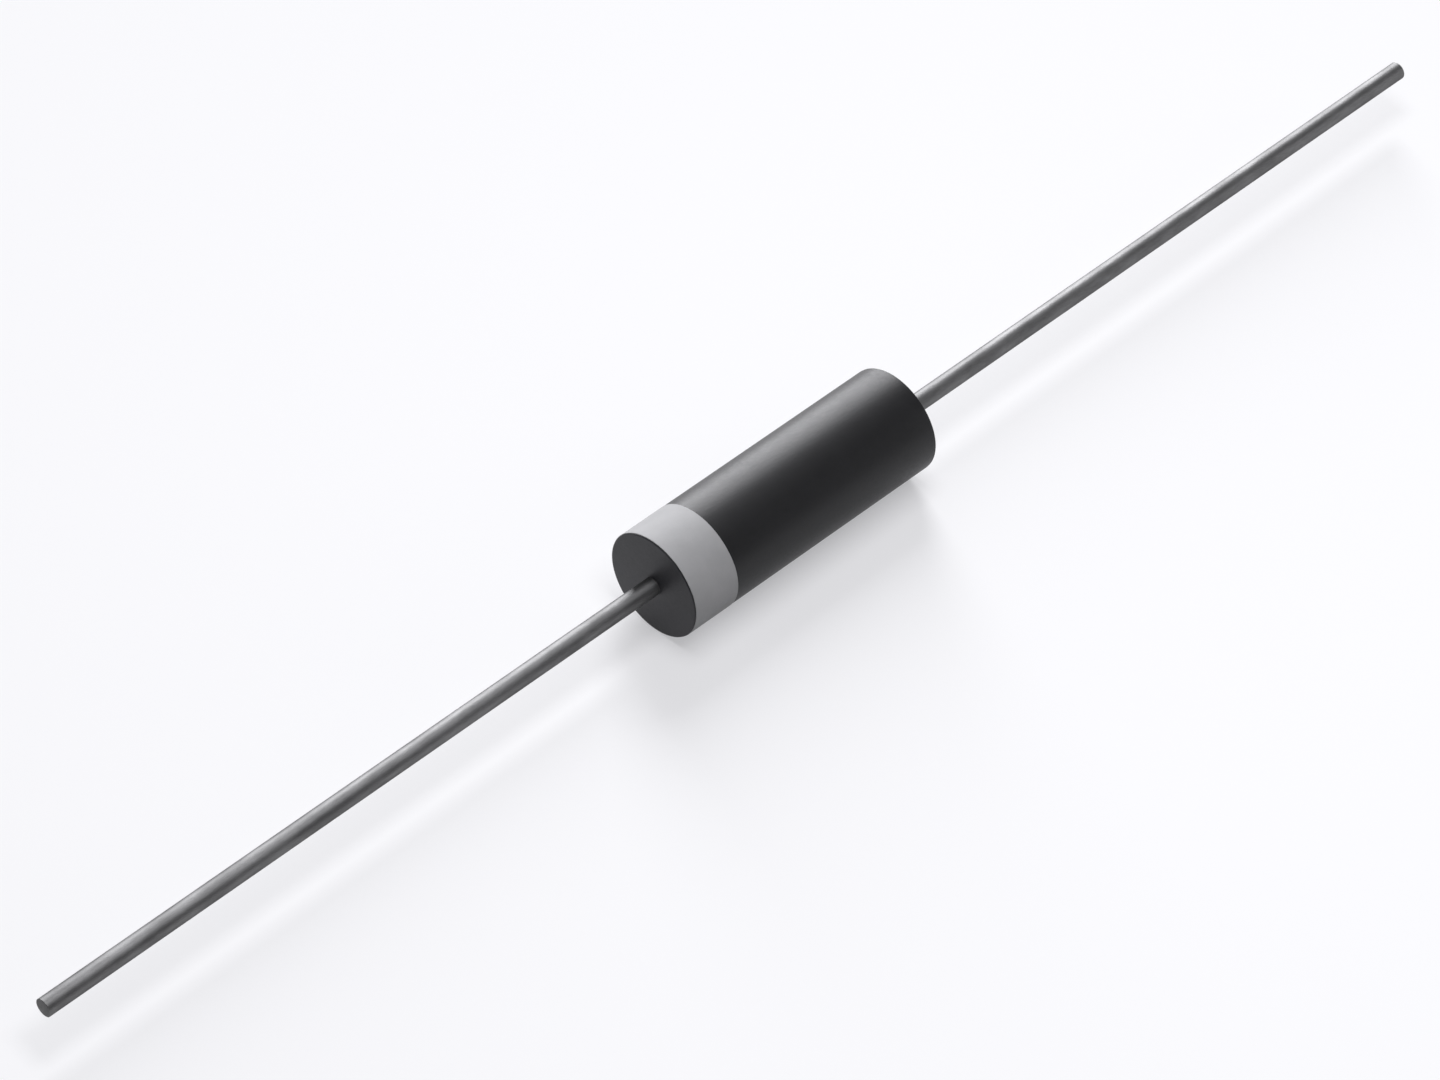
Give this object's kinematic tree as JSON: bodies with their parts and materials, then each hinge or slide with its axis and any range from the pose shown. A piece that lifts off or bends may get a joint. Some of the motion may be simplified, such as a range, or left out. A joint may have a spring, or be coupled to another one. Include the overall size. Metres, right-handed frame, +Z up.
{
  "type": "axial rectifier diode",
  "caption": "Axial-lead rectifier diode: slender black moulded cylinder with a light grey cathode band and two straight tinned wire leads.",
  "frame": {"origin": "middle of the moulded body, on the axis of the two leads", "axes": "+X along the leads towards the anode end, so the banded cathode end is at -X; +Z up as the part lies on a table"},
  "size_m": [0.065, 0.004, 0.004],
  "materials": {
    "moulded_epoxy": "satin black moulded epoxy",
    "band_ink": "printed light grey ink",
    "tinned_copper": "drawn copper wire with matte tin plating",
    "silicone": "cured silicone bead",
    "silicon": "etched silicon with metallised faces",
    "solder": "high-lead solder"
  },
  "bodies": {
    "root": {"epoxy_body": "moulded_epoxy", "cathode_band": "band_ink", "cathode_lead": "tinned_copper", "anode_lead": "tinned_copper", "junction_coating": "silicone", "silicon_chip_1": "silicon", "silicon_chip_2": "silicon", "silicon_chip_3": "silicon", "silicon_chip_4": "silicon", "silicon_chip_5": "silicon", "silicon_chip_6": "silicon", "silicon_chip_7": "silicon", "silicon_chip_8": "silicon", "solder_joint_1": "solder", "solder_joint_2": "solder", "solder_joint_3": "solder", "solder_joint_4": "solder", "solder_joint_5": "solder", "solder_joint_6": "solder", "solder_joint_7": "solder", "solder_joint_8": "solder", "solder_joint_9": "solder"}
  },
  "joints": []
}
